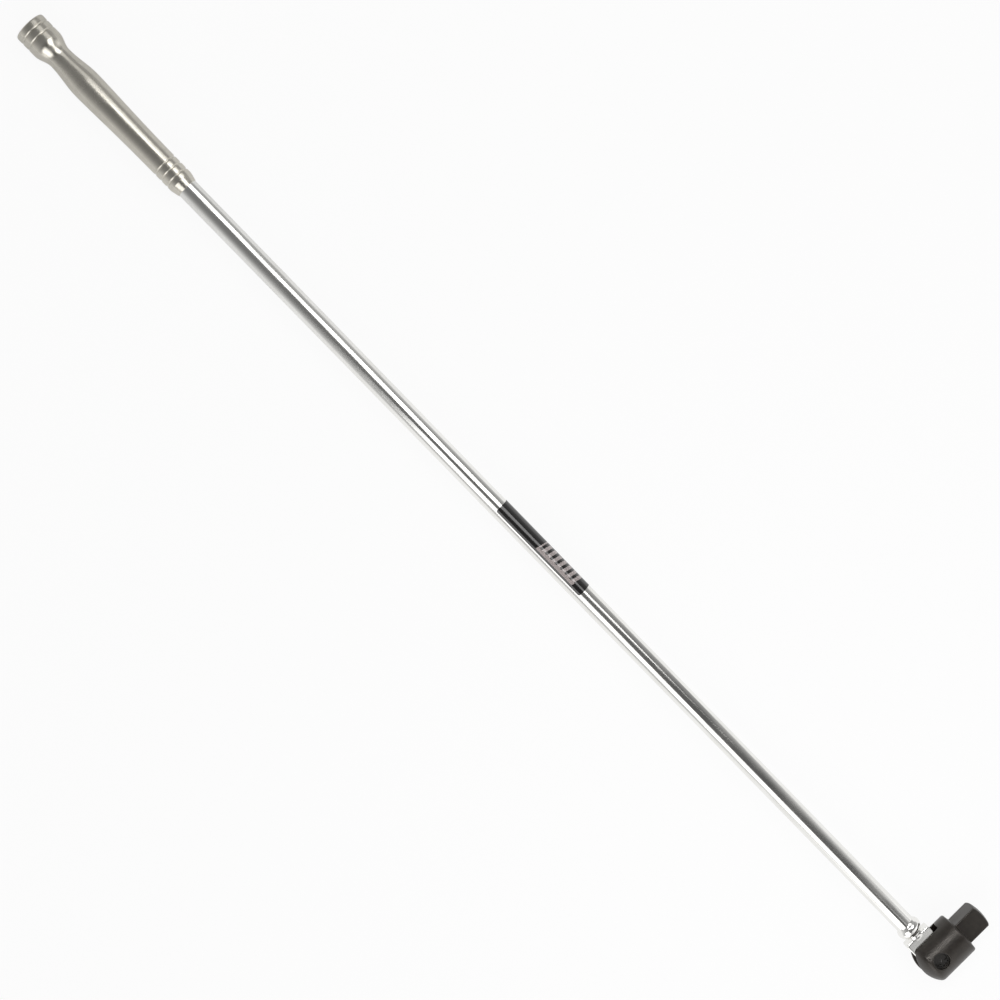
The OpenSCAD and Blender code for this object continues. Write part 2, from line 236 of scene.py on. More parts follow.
keyLight = {      # a soft spot over the grip that is aimed at the head
    "from": (-1.65, -0.026, 2.5),
    "radius": 0.36,
    "cone": 12.0,      # degrees
    "blend": 0.5,      # softness of the cone's rim
    "power": 118.0,
}


def hangKey(k):
    light = bpy.data.lights.new("keyLight", "SPOT")
    light.energy, light.shadow_soft_size = k["power"], k["radius"]
    light.spot_size, light.spot_blend = math.radians(k["cone"]), k["blend"]
    lamp = bpy.data.objects.new("keyLight", light)
    lamp.location = k["from"]
    lamp.rotation_euler = (Vector(k["from"]) - Vector((0, barY, 0))).to_track_quat("Z", "Y").to_euler()
    scene.collection.objects.link(lamp)


hangKey(keyLight)
print("bench ready")

# effects that several finishes share

effectSizes = {
    "slowLines": 0.06,            # scale of the slow changes beside the fine lines
    "slowStreaks": 0.15,
    "patchEdge": (0.38, 0.66),    # cloud values where a patch starts and where it is full
    "mottle": 0.06,               # scale of the mottle beside the grains
    "breakEdge": (0.35, 0.65),    # cloud values where a rub is broken off and where it is whole
}


def newEffect(name, takes, gives):      # a start of None makes a vector socket
    group = bpy.data.node_groups.new(name, "ShaderNodeTree")
    for socketName, start in takes.items():
        kind = "NodeSocketVector" if start is None else "NodeSocketFloat"
        socket = group.interface.new_socket(socketName, in_out="INPUT", socket_type=kind)
        if start is not None:
            socket.default_value = start
    for socketName in gives:
        group.interface.new_socket(socketName, in_out="OUTPUT", socket_type="NodeSocketFloat")
    return group, group.nodes.new("NodeGroupInput").outputs, group.nodes.new("NodeGroupOutput").inputs


def makeTurnedLines(e):      # fine rings left by the lathe tool
    takes = {"Along": 0.0, "Lines per metre": 4000.0}
    group, given, result = newEffect("turnedLines", takes, ["Height", "Tone"])
    spot = calc(group, "MULTIPLY", given["Along"], given["Lines per metre"])
    for name, scale in (("Height", 1.0), ("Tone", e["slowLines"])):
        inputs = {"W": spot, "Scale": scale, "Detail": 2.0}
        noise = addNode(group, "TexNoise", inputs, noise_dimensions="1D")
        group.links.new(noise.outputs[0], result[name])
    return group


def makeDrawnLines(e):      # long faint streaks left by drawing and polishing
    takes = {"Point": None, "Fineness": 2500.0, "Length": 0.02}
    group, given, result = newEffect("drawnLines", takes, ["Height", "Tone"])
    parts = addNode(group, "SeparateXYZ", {0: given["Point"]}).outputs
    along = calc(group, "DIVIDE", parts["X"], given["Length"])
    across = [calc(group, "MULTIPLY", parts[axis], given["Fineness"]) for axis in "YZ"]
    spot = addNode(group, "CombineXYZ", {"X": along, "Y": across[0], "Z": across[1]}).outputs[0]
    for name, scale, detail in (("Height", 1.0, 3.0), ("Tone", e["slowStreaks"], 2.0)):
        noise = addNode(group, "TexNoise", {"Vector": spot, "Scale": scale, "Detail": detail})
        group.links.new(noise.outputs[0], result[name])
    return group


def makeSmudges(e):      # cloudy patches where hands and rags have been
    group, given, result = newEffect("smudges", {"Point": None, "Patches per metre": 40.0}, ["Mask"])
    cloud = addNode(group, "TexNoise", {"Vector": given["Point"], "Scale": given["Patches per metre"],
                                        "Detail": 5.0, "Roughness": 0.6})
    group.links.new(remap(group, cloud.outputs[0], *e["patchEdge"]), result["Mask"])
    return group


def makeCrystals(e):      # the fine crystal coat of a phosphated or blackened piece
    takes = {"Point": None, "Grains per metre": 3500.0}
    group, given, result = newEffect("crystals", takes, ["Height", "Tone"])
    point, grains = given["Point"], given["Grains per metre"]
    cells = addNode(group, "TexVoronoi", {"Vector": point, "Scale": grains})
    cloud = addNode(group, "TexNoise", {"Vector": point, "Scale": grains, "Detail": 4.0})
    height = calc(group, "MULTIPLY", cells.outputs["Distance"], cloud.outputs[0])
    wide = calc(group, "MULTIPLY", grains, e["mottle"])
    mottle = addNode(group, "TexNoise", {"Vector": point, "Scale": wide, "Detail": 6.0, "Roughness": 0.65})
    group.links.new(height, result["Height"])
    group.links.new(mottle.outputs[0], result["Tone"])
    return group


def makeEdgeRub(e):      # bare edges where the coat has rubbed thin
    takes = {"Point": None, "Start": 0.53, "End": 0.62, "Breaks per metre": 900.0}
    group, given, result = newEffect("edgeRub", takes, ["Mask"])
    edge = addNode(group, "NewGeometry").outputs["Pointiness"]
    bare = remap(group, edge, given["Start"], given["End"])
    cloud = addNode(group, "TexNoise", {"Vector": given["Point"], "Scale": given["Breaks per metre"],
                                        "Detail": 3.0})
    broken = remap(group, cloud.outputs[0], *e["breakEdge"])
    group.links.new(calc(group, "MULTIPLY", bare, broken), result["Mask"])
    return group


turnedLines = makeTurnedLines(effectSizes)
drawnLines = makeDrawnLines(effectSizes)
smudges = makeSmudges(effectSizes)
crystals = makeCrystals(effectSizes)
edgeRub = makeEdgeRub(effectSizes)


def useEffect(tree, effect, inputs):
    return addNode(tree, "Group", inputs, node_tree=effect).outputs


# the finishes: lines, grains, patches, breaks and fineness are per metre, and relief is in millimetres


def newFinish(name, plain):      # plain values go straight onto the shader
    finish = bpy.data.materials.new(name)
    finish.use_nodes = True
    tree = finish.node_tree
    tree.nodes.clear()
    shader = addNode(tree, "BsdfPrincipled", plain)
    addNode(tree, "OutputMaterial", {"Surface": shader.outputs[0]})
    point = addNode(tree, "TexCoord").outputs["Object"]
    return finish, tree, shader.inputs, point


# the surface goes from smooth to dull as the wear goes through the span
def dress(tree, shader, look, colour, wear, height, span=(0.0, 1.0)):
    tree.links.new(colour, shader["Base Color"])
    tree.links.new(remap(tree, wear, *span, look["smooth"], look["dull"]), shader["Roughness"])
    bump = addNode(tree, "Bump", {"Height": height, "Strength": 1.0, "Distance": look["relief"] * mm})
    tree.links.new(bump.outputs[0], shader["Normal"])


grainSpan = (0.35, 0.65)      # what the crystals' tone runs through

brightChromeLook = {
    "pale": (0.87, 0.865, 0.84, 1),
    "deep": (0.77, 0.76, 0.73, 1),
    "smooth": 0.13,
    "dull": 0.20,
    "streaks": {"Fineness": 1800.0, "Length": 0.03},
    "patches": 28.0,
    "relief": 0.0008,
}


def makeBrightChrome(c):
    finish, tree, shader, point = newFinish("brightChrome", {"Metallic": 1.0})
    lines = useEffect(tree, drawnLines, {"Point": point, **c["streaks"]})
    hand = useEffect(tree, smudges, {"Point": point, "Patches per metre": c["patches"]})["Mask"]
    tone = calc(tree, "MULTIPLY", lines["Tone"], hand)
    dress(tree, shader, c, blendTones(tree, tone, c["pale"], c["deep"]), hand, lines["Height"])
    return finish


satinChromeLook = {
    "pale": (0.70, 0.670, 0.597, 1),
    "deep": (0.59, 0.563, 0.500, 1),
    "smooth": 0.18,
    "dull": 0.28,
    "lines": 5200.0,
    "patches": 45.0,
    "relief": 0.006,
}


def makeSatinChrome(c):
    finish, tree, shader, point = newFinish("satinChrome", {"Metallic": 1.0})
    along = addNode(tree, "SeparateXYZ", {0: point}).outputs["X"]
    lines = useEffect(tree, turnedLines, {"Along": along, "Lines per metre": c["lines"]})
    hand = useEffect(tree, smudges, {"Point": point, "Patches per metre": c["patches"]})["Mask"]
    tone = calc(tree, "MULTIPLY", lines["Tone"], hand)
    dress(tree, shader, c, blendTones(tree, tone, c["pale"], c["deep"]), hand, lines["Height"])
    return finish


blackPhosphateLook = {
    "coat": (0.010, 0.0080, 0.0065, 1),
    "thin": (0.020, 0.0160, 0.0130, 1),
    "mottle": (0.35, 0.70),      # from the full coat to the thin one
    "bare": (0.21, 0.20, 0.19, 1),
    "bareShare": 0.55,           # how bare a rubbed edge gets
    "bareMetal": 0.6,
    "rub": {"Start": 0.535, "End": 0.64, "Breaks per metre": 700.0},
    "shine": 0.60,
    "shineTint": (1.0, 0.95, 0.89, 1),
    "smooth": 0.33,
    "dull": 0.43,
    "grains": 3200.0,
    "patches": 90.0,
    "relief": 0.011,
}


def makeBlackPhosphate(c):
    plain = {"Specular IOR Level": c["shine"], "Specular Tint": c["shineTint"]}
    finish, tree, shader, point = newFinish("blackPhosphate", plain)
    coat = useEffect(tree, crystals, {"Point": point, "Grains per metre": c["grains"]})
    hand = useEffect(tree, smudges, {"Point": point, "Patches per metre": c["patches"]})["Mask"]
    rub = useEffect(tree, edgeRub, {"Point": point, **c["rub"]})["Mask"]
    colour = blendTones(tree, remap(tree, coat["Tone"], *c["mottle"]), c["coat"], c["thin"])
    colour = blendTones(tree, calc(tree, "MULTIPLY", rub, c["bareShare"]), colour, c["bare"])
    tree.links.new(calc(tree, "MULTIPLY", rub, c["bareMetal"]), shader["Metallic"])
    dress(tree, shader, c, colour, hand, coat["Height"])
    return finish


darkSteelLook = {
    "oiled": (0.016, 0.014, 0.012, 1),
    "bright": (0.12, 0.115, 0.11, 1),
    "brightMetal": 0.5,
    "rub": {"Start": 0.54, "End": 0.64, "Breaks per metre": 1500.0},
    "shine": 0.5,
    "smooth": 0.40,
    "dull": 0.52,
    "grains": 5200.0,
    "relief": 0.008,
}


def makeDarkSteel(c):
    finish, tree, shader, point = newFinish("darkSteel", {"Specular IOR Level": c["shine"]})
    coat = useEffect(tree, crystals, {"Point": point, "Grains per metre": c["grains"]})
    rub = useEffect(tree, edgeRub, {"Point": point, **c["rub"]})["Mask"]
    tree.links.new(calc(tree, "MULTIPLY", rub, c["brightMetal"]), shader["Metallic"])
    colour = blendTones(tree, rub, c["oiled"], c["bright"])
    dress(tree, shader, c, colour, coat["Tone"], coat["Height"], grainSpan)
    return finish


springSteelLook = {
    "pale": (0.46, 0.45, 0.43, 1),
    "deep": (0.30, 0.29, 0.28, 1),
    "smooth": 0.24,
    "dull": 0.38,
    "grains": 2600.0,
    "patches": 300.0,
    "relief": 0.004,
}
ballSteelLook = {
    "pale": (0.66, 0.66, 0.65, 1),
    "deep": (0.55, 0.55, 0.54, 1),
    "smooth": 0.08,
    "dull": 0.16,
    "grains": 2600.0,
    "patches": 300.0,
    "relief": 0.004,
}


def makePlainSteel(name, c):
    finish, tree, shader, point = newFinish(name, {"Metallic": 1.0})
    coat = useEffect(tree, crystals, {"Point": point, "Grains per metre": c["grains"]})
    hand = useEffect(tree, smudges, {"Point": point, "Patches per metre": c["patches"]})["Mask"]
    colour = blendTones(tree, hand, c["pale"], c["deep"])
    dress(tree, shader, c, colour, coat["Tone"], coat["Height"], grainSpan)
    return finish


labelLook = {
    "film": (0.007, 0.006, 0.006, 1),
    "pale": (0.42, 0.37, 0.36, 1),
    "shine": 1.0,
    "smooth": 0.10,
    "dull": 0.17,
    "field": (0.47, 0.91),           # where the pale field starts and ends, as shares of the length
    "fieldAcross": (0.53, 0.945),    # and of the way round
    "fieldEdge": 0.006,
    "lineAcross": 0.855,             # where the plain line under the stripes starts
    "lineEdge": 0.01,
    "stripes": 17.0,                 # slanted stripes in the whole length
    "stripeEdge": (0.20, 0.26),
    "lean": 1.6,
    "grains": 1500.0,
    "patches": 160.0,
    "relief": 0.004,
}


def makeLabelFilm(c):
    finish, tree, shader, point = newFinish("labelFilm", {"Specular IOR Level": c["shine"]})
    uv = addNode(tree, "UVMap", uv_map="labelPlace").outputs[0]
    parts = addNode(tree, "SeparateXYZ", {0: uv}).outputs
    offMiddle = calc(tree, "SUBTRACT", parts["Y"], sum(c["fieldAcross"]) / 2)
    slanted = calc(tree, "ADD", parts["X"], calc(tree, "MULTIPLY", offMiddle, c["lean"] / c["stripes"]))
    phase = calc(tree, "FRACT", calc(tree, "MULTIPLY", slanted, c["stripes"]))
    stripe = remap(tree, calc(tree, "ABSOLUTE", calc(tree, "SUBTRACT", phase, 0.5)), *c["stripeEdge"])
    line = remap(tree, parts["Y"], c["lineAcross"], c["lineAcross"] + c["lineEdge"])
    printed = calc(tree, "MAXIMUM", stripe, line)
    for way, (low, high) in ((slanted, c["field"]), (parts["Y"], c["fieldAcross"])):
        begun = remap(tree, way, low, low + c["fieldEdge"])
        going = remap(tree, way, high - c["fieldEdge"], high, 1.0, 0.0)
        printed = calc(tree, "MULTIPLY", printed, calc(tree, "MULTIPLY", begun, going))
    hand = useEffect(tree, smudges, {"Point": point, "Patches per metre": c["patches"]})["Mask"]
    film = useEffect(tree, crystals, {"Point": point, "Grains per metre": c["grains"]})
    dress(tree, shader, c, blendTones(tree, printed, c["film"], c["pale"]), hand, film["Height"])
    return finish


brightChrome = makeBrightChrome(brightChromeLook)
satinChrome = makeSatinChrome(satinChromeLook)
blackPhosphate = makeBlackPhosphate(blackPhosphateLook)
darkSteel = makeDarkSteel(darkSteelLook)
springSteel = makePlainSteel("springSteel", springSteelLook)
ballSteel = makePlainSteel("ballSteel", ballSteelLook)
labelFilm = makeLabelFilm(labelLook)
print("finishes mixed")

# ways of making a piece


# edges that turn by more than the sharp angle, in degrees, stay crisp
def finishPiece(name, mesh, finish, body, nodes, sharp=None):
    mesh.materials.append(finish)
    mesh.shade_smooth()
    piece = bpy.data.objects.new(name, mesh)
    scene.collection.objects.link(piece)
    if sharp:
        mesh.set_sharp_from_angle(angle=math.radians(sharp))
        even = piece.modifiers.new("evenShading", "WEIGHTED_NORMAL")
        even.keep_sharp = True
    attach(piece, body)
    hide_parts(*nodes)
    return piece


def softened(corners, steps=5):      # corners are (along, radius, rounding)
    line = []
    for i, (along, radius, rounding) in enumerate(corners):
        here = Vector((along, radius))
        if not rounding or i in (0, len(corners) - 1):
            line.append(here)
            continue
        back = Vector(corners[i - 1][:2]) - here
        ahead = Vector(corners[i + 1][:2]) - here
        most = 0.49 * min(back.length, ahead.length)      # leaves room for the next corner's rounding
        reach = min(rounding / math.tan(back.angle(ahead) / 2), most)
        start, end = here + back.normalized() * reach, here + ahead.normalized() * reach
        for k in range(steps + 1):
            u = k / steps
            line.append((1 - u) ** 2 * start + 2 * u * (1 - u) * here + u * u * end)
    return [(p.x, p.y) for p in line]


def turnFacesOutward(mesh):
    bm = bmesh.new()
    bm.from_mesh(mesh)
    bmesh.ops.recalc_face_normals(bm, faces=bm.faces)
    bm.to_mesh(mesh)
    bm.free()


def turnOnLathe(name, outline, centre, axis, segments=144, ring=False):      # a ring closes on itself
    verts, rows = [], []
    for along, radius in outline:
        row = []
        count = segments if radius else 1      # one point where the outline meets the axis
        for k in range(count):
            angle = 2 * math.pi * k / segments
            c, s = radius * math.cos(angle), radius * math.sin(angle)
            offset = {"x": (along, c, s), "z": (c, s, along)}[axis]
            row.append(len(verts))
            verts.append(Vector(centre) + Vector(offset))
        rows.append(row)
    faces = []
    pairs = list(zip(rows, rows[1:])) + ([(rows[-1], rows[0])] if ring else [])
    for a, b in pairs:
        for k in range(segments):
            n = (k + 1) % segments
            corners = [a[k % len(a)], a[n % len(a)], b[n % len(b)], b[k % len(b)]]
            face = list(dict.fromkeys(corners))
            if len(face) > 2:
                faces.append(face)
    mesh = bpy.data.meshes.new(name)
    mesh.from_pydata(verts, [], faces)
    turnFacesOutward(mesh)
    return mesh


def roundCut(a, b, r):      # what lies in both shapes, with a rounded edge between them
    return np.minimum(np.maximum(a, b), -r) + np.hypot(np.maximum(a + r, 0), np.maximum(b + r, 0))


def roundJoin(a, b, r):      # both shapes together, with a fillet between them
    return np.maximum(np.minimum(a, b), r) - np.hypot(np.maximum(r - a, 0), np.maximum(r - b, 0))


# skins a shape that is given as a distance from its surface, all in millimetres:
# one point in each cell that the surface goes through, joined to its neighbours and moved onto the surface
def forge(name, shape, box, cell, passes=3):
    low, high = np.array(box[0]) / mm - 2 * cell, np.array(box[1]) / mm + 2 * cell
    axes = [np.arange(low[i], high[i] + cell, cell) for i in range(3)]
    inside = shape(*np.meshgrid(*axes, indexing="ij")) < 0
    sizes = [n - 1 for n in inside.shape]
    count = np.zeros(sizes, int)
    for i in (0, 1):
        for j in (0, 1):
            for k in (0, 1):
                count += inside[i:i + sizes[0], j:j + sizes[1], k:k + sizes[2]]
    mixed = (count > 0) & (count < 8)
    index = np.full(sizes, -1)
    index[mixed] = np.arange(mixed.sum())
    points = np.argwhere(mixed) * cell + low + cell / 2
    quads = []
    for axis in range(3):
        u, v = [a for a in range(3) if a != axis]
        ahead = np.roll(inside, -1, axis)
        crossing = inside != ahead
        cut = [slice(1, -1)] * 3
        cut[axis] = slice(0, -1)
        found = np.argwhere(crossing[tuple(cut)]) + [0 if a == axis else 1 for a in range(3)]
        corners = []
        for du, dv in ((1, 1), (0, 1), (0, 0), (1, 0)):
            at = found.copy()
            at[:, u] -= du
            at[:, v] -= dv
            corners.append(index[at[:, 0], at[:, 1], at[:, 2]])
        quad = np.stack(corners, 1)
        outward = inside[found[:, 0], found[:, 1], found[:, 2]] ^ (axis == 1)
        quad[~outward] = quad[~outward, ::-1]
        quads.append(quad)
    quads = np.concatenate(quads)
    quads = quads[(quads >= 0).all(1)]

    step = 0.02 * cell      # how far to each side the slope is felt
    leastSlope = 0.05       # squared, keeps a move finite where the distance hardly changes

    def settle(p, times):      # moves each point onto the skin
        for _ in range(times):
            here = shape(*p.T)
            rise = [shape(*(p + step * e).T) - shape(*(p - step * e).T) for e in np.eye(3)]
            slope = np.stack(rise, 1) / (2 * step)
            slope /= np.maximum((slope ** 2).sum(1), leastSlope)[:, None]
            p = p - np.clip(here[:, None] * slope, -cell, cell)
        return p

    points = settle(points, 3)
    links = np.concatenate([quads[:, [i, (i + 1) % 4]] for i in range(4)])
    for _ in range(passes):      # evens the mesh out along the skin
        total, number = np.zeros_like(points), np.zeros(len(points))
        np.add.at(total, links[:, 0], points[links[:, 1]])
        np.add.at(number, links[:, 0], 1)
        points = settle(0.5 * points + 0.5 * total / np.maximum(number, 1)[:, None], 2)
    mesh = bpy.data.meshes.new(name)
    mesh.from_pydata((points * mm).tolist(), [], quads.tolist())
    mesh.validate()
    return mesh


# the bar and the tongue on its end

bar = {      # millimetres
    "radius": 8.0, "plug": 4.0, "endBevel": 0.6,
    "overlap": 1.0,      # how far the skin runs into the tongue's hollow, so that the seam is clean
    "spigotRadius": 5.0, "spigotEdge": 0.3,
}


def makeBar(b):
    start = gripEnd + b["plug"] * mm
    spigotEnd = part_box("bar")[1].x
    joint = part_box("hinge_tongue")[0].x + b["overlap"] * mm
    r, spigot = b["radius"] * mm, b["spigotRadius"] * mm
    outline = softened([(start, 0, 0), (start, r, b["endBevel"] * mm), (joint, r, 0), (joint, spigot, 0),
                        (spigotEnd, spigot, b["spigotEdge"] * mm), (spigotEnd, 0, 0)])
    mesh = turnOnLathe("barRod", outline, (0, barY, 0), "x")
    finishPiece("barRod", mesh, brightChrome, "handle", ["bar"], sharp=35)


makeBar(bar)

tongue = {      # millimetres
    "beadX": -31.04, "beadRadius": 10.0, "beadRound": 5.5,
    "hollow": 4.0, "sink": 0.05,      # the hollow behind the bead, which starts just under the bar's skin
    "frontHollow": 1.0, "neckRadius": 6.6, "coneFrom": -23.2, "coneSlope": 1.0, "coneRound": 0.8,
    "shoulderX": -23.54, "halfWidth": 11.7, "halfThick": 5.8,
    "cornerRound": 1.5, "edgeRound": 0.9, "forgingFillet": 1.6,
    "pinHole": 5.55, "holeEdge": 0.4, "socketRadius": 5.03, "socketEnd": -25.84,
    "cell": 0.42,
}


def makeTongue(t):
    low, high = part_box("hinge_tongue")
    startX, pinY = low.x / mm, barY / mm
    beadCentre = t["beadRadius"] - t["beadRound"]
    hollowCentre = bar["radius"] - t["sink"] + t["hollow"]
    touchReach = t["beadRound"] + t["hollow"]      # between the two centres, so that hollow and bead touch
    hollowX = t["beadX"] - math.sqrt(touchReach ** 2 - (hollowCentre - beadCentre) ** 2)

    def shape(x, y, z):
        v = y - pinY
        around, flat = np.hypot(v, z), np.hypot(x, v)
        bead = np.hypot(x - t["beadX"], around - beadCentre) - t["beadRound"]
        hollow = t["hollow"] - np.hypot(x - hollowX, around - hollowCentre)
        touch = (x - hollowX) * (hollowCentre - beadCentre)
        touch = (touch + (around - hollowCentre) * (t["beadX"] - hollowX)) / touchReach
        back = np.minimum(bead, np.maximum(np.maximum(hollow, touch), startX - x))
        rod = around - t["neckRadius"]
        cone = (rod + t["coneSlope"] * (x - t["coneFrom"])) / math.hypot(1, t["coneSlope"])
        neck = np.maximum(roundCut(rod, cone, t["coneRound"]), t["beadX"] - x)
        stem = np.where(x < t["beadX"], back, roundJoin(neck, bead, t["frontHollow"]))
        straight = np.maximum(roundCut(t["shoulderX"] - x, np.abs(v) - t["halfWidth"], t["cornerRound"]), x)
        outline = np.minimum(straight, flat - t["halfWidth"])
        plate = roundCut(outline, np.abs(z) - t["halfThick"], t["edgeRound"])
        solid = roundJoin(stem, plate, t["forgingFillet"])
        solid = roundCut(solid, t["pinHole"] - flat, t["holeEdge"])
        socket = np.maximum(around - t["socketRadius"], x - t["socketEnd"])
        return np.maximum(np.maximum(solid, -socket), startX - x)

    mesh = forge("hingeTongue", shape, (low, high), t["cell"])
    finishPiece("hingeTongue", mesh, brightChrome, "handle", ["hinge_tongue"])


makeTongue(tongue)
print("bar and tongue made")

# the turned grip, its end plug and the label on the bar

grip = {      # millimetres, from the end of the grip
    "collarRadius": 12.5, "collarLength": 18.0, "collarEdge": 2.0,
    "neckAt": 31.5, "neckRadius": 9.1,
    "swellAt": 58.5, "swellRadius": 11.5,
    "frontAt": 135.5, "frontRadius": 10.0, "coneAt": 155.5, "coneEnd": 162.0, "coneRadius": 8.5,
    "taperLead": 0.75,      # below 1, the taper falls sooner
    "coneEdge": 0.8, "coneLip": 0.25,
    "bore": 8.03, "boreEdge": 0.1, "plugBore": 9.03, "plugDepth": 4.0, "plugBoreEdge": 0.3,
    "closing": 0.01,      # the last step, where the outline closes on itself
    "collarGrooves": (6.1, 12.2), "frontGrooves": (138.9, 145.0, 151.1),
    "grooveRadius": 1.0, "grooveDepth": 0.65, "grooveLip": 0.18, "grooveSteps": 10,
    "curveSteps": (20, 24, 40),      # from collar to neck, from neck to swell, from swell to front
}


def grooveCorners(centre, edge, g):
    rise = g["grooveRadius"] - g["grooveDepth"]
    half = math.sqrt(g["grooveRadius"] ** 2 - rise ** 2)
    corners = [(centre - half, edge, g["grooveLip"])]
    for k in range(1, g["grooveSteps"]):
        a = -half + 2 * half * k / g["grooveSteps"]
        corners.append((centre + a, edge + rise - math.sqrt(g["grooveRadius"] ** 2 - a * a), 0))
    return corners + [(centre + half, edge, g["grooveLip"])]


def makeGrip(g):
    corners = [(g["plugDepth"], g["bore"], g["boreEdge"]), (g["plugDepth"], g["plugBore"], 0),
               (0, g["plugBore"], g["plugBoreEdge"]), (0, g["collarRadius"], g["collarEdge"])]
    for centre in g["collarGrooves"]:
        corners += grooveCorners(centre, g["collarRadius"], g)
    corners.append((g["collarLength"], g["collarRadius"], 0))
    stations = [(g["collarLength"], g["collarRadius"]), (g["neckAt"], g["neckRadius"]),
                (g["swellAt"], g["swellRadius"]), (g["frontAt"], g["frontRadius"])]
    leads = (1.0, 1.0, g["taperLead"])
    for (x0, r0), (x1, r1), steps, lead in zip(stations, stations[1:], g["curveSteps"], leads):
        for k in range(1, steps + 1):
            u = k / steps
            share = (1 - math.cos(math.pi * u ** lead)) / 2      # eases in and out
            corners.append((x0 + (x1 - x0) * u, r0 + (r1 - r0) * share, 0))
    for centre in g["frontGrooves"]:
        corners += grooveCorners(centre, g["frontRadius"], g)
    corners += [(g["coneAt"], g["frontRadius"], g["coneEdge"]),
                (g["coneEnd"], g["coneRadius"], g["coneLip"]), (g["coneEnd"], g["bore"], g["boreEdge"]),
                (g["plugDepth"] + g["closing"], g["bore"], 0)]
    outline = [(gripEnd + a * mm, r * mm) for a, r in softened(corners)]
    mesh = turnOnLathe("gripSleeve", outline, (0, barY, 0), "x", ring=True)
    finishPiece("gripSleeve", mesh, satinChrome, "handle", ["grip_sleeve"], sharp=50)


makeGrip(grip)

endPlug = {      # millimetres
    "radius": 9.0, "thickness": 3.97, "dome": 0.8, "domeSteps": 12, "edge": 0.25, "backEdge": 0.2,
    "markRadius": 0.9, "markDepth": 0.35, "markLip": 0.02, "markRound": 0.2,      # left by the lathe centre
}


def makeEndPlug(p):
    capRadius = (p["radius"] ** 2 + p["dome"] ** 2) / (2 * p["dome"])
    corners = [(p["markDepth"], 0, 0), (p["markLip"], p["markRadius"], p["markRound"])]
    for k in range(3, p["domeSteps"] + 1):      # from outside the mark to the rim
        r = p["radius"] * k / p["domeSteps"]
        rounding = p["edge"] if k == p["domeSteps"] else 0
        corners.append((capRadius - math.sqrt(capRadius ** 2 - r * r), r, rounding))
    corners += [(p["thickness"], p["radius"], p["backEdge"]), (p["thickness"], 0, 0)]
    outline = [(gripEnd + a * mm, r * mm) for a, r in softened(corners)]
    mesh = turnOnLathe("gripEndPlug", outline, (0, barY, 0), "x", segments=96)
    finishPiece("gripEndPlug", mesh, satinChrome, "handle", ["grip_end_plug"], sharp=40)


makeEndPlug(endPlug)

label = {      # millimetres and degrees
    "inner": 8.03, "outer": 8.18, "wrap": 220.0, "turn": 6.0, "cornerRound": 1.2,
    "steps": 110, "rows": 60,      # faces round the bar and along it
}


def makeLabel(p):
    low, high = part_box("label_band")
    length = (high.x - low.x) / mm
    bm = bmesh.new()
    uvLayer = bm.loops.layers.uv.new("labelPlace")
    arc = math.radians(p["wrap"]) * p["outer"]      # the label's width when it lies flat
    spots, grid = {}, {}
    for skin, radius in (("top", p["outer"]), ("under", p["inner"])):
        for i in range(p["steps"] + 1):
            for j in range(p["rows"] + 1):
                across = arc * i / p["steps"]
                inset = max(0.0, p["cornerRound"] - min(across, arc - across))
                trim = p["cornerRound"] - math.sqrt(max(0.0, p["cornerRound"] ** 2 - inset ** 2))
                along = trim + (length - 2 * trim) * j / p["rows"]      # rounds the four corners
                angle = math.radians(p["turn"] - p["wrap"] / 2) + across / p["outer"]
                vert = bm.verts.new((low.x + along * mm, barY + radius * mm * math.cos(angle),
                                     radius * mm * math.sin(angle)))
                grid[skin, i, j] = vert
                spots[vert] = (along / length, across / arc)
    faces = []
    for i in range(p["steps"]):
        for j in range(p["rows"]):
            top = [grid["top", a, b] for a, b in ((i, j), (i, j + 1), (i + 1, j + 1), (i + 1, j))]
            under = [grid["under", a, b] for a, b in ((i, j), (i + 1, j), (i + 1, j + 1), (i, j + 1))]
            faces += [top, under]
    rim = [(i, 0) for i in range(p["steps"])] + [(p["steps"], j) for j in range(p["rows"])]
    rim += [(i, p["rows"]) for i in range(p["steps"], 0, -1)] + [(0, j) for j in range(p["rows"], 0, -1)]
    for a, b in zip(rim, rim[1:] + rim[:1]):
        corners = (("top", a), ("top", b), ("under", b), ("under", a))
        faces.append([grid[skin, i, j] for skin, (i, j) in corners])
    for corners in faces:
        face = bm.faces.new(corners)
        for loop in face.loops:
            loop[uvLayer].uv = spots[loop.vert]
    bmesh.ops.recalc_face_normals(bm, faces=bm.faces)
    mesh = bpy.data.meshes.new("labelBand")
    bm.to_mesh(mesh)
    bm.free()
    finishPiece("labelBand", mesh, labelFilm, "handle", ["label_band"], sharp=40)


makeLabel(label)
print("grip, plug and label made")

# the black head with its pin and rings

head = {      # millimetres; the drive points to +Y
    "radius": 18.0, "foot": -42.5, "domeRadius": 25.0, "domeEdge": 1.4, "shoulderEdge": 1.3,
    "slotHalf": 6.0, "slotEnd": -10.0, "slotCorner": 1.0, "slotEdge": 0.6,
    "driveHalf": 9.525, "driveLength": 22.7, "cornerRadius": 13.17, "driveEdge": 0.4,
    "flatsEdge": 0.3, "tipRadius": 34.0, "tipChamfer": 3.0, "tipEdge": 0.8,
    "rootHeight": 0.6, "rootEdge": 0.4, "rootFillet": 0.5,
    "rootDepth": -2.0,      # how far the drive and its root go into the head
    "pinHole": 5.53, "ringBore": 6.5, "ringFrom": 13.8, "ringTo": 14.88, "ringGroove": 6.9, "boreEdge": 0.4,
    "plungerBore": 3.58, "plungerEnd": 6.6,
    "ballY": 12.0, "ballHole": 3.28, "ballMouth": 2.98, "ballFrom": -2.475,
    "ballLip": 0.35, "ballEdge": 0.3,
    "cell": 0.4,
}


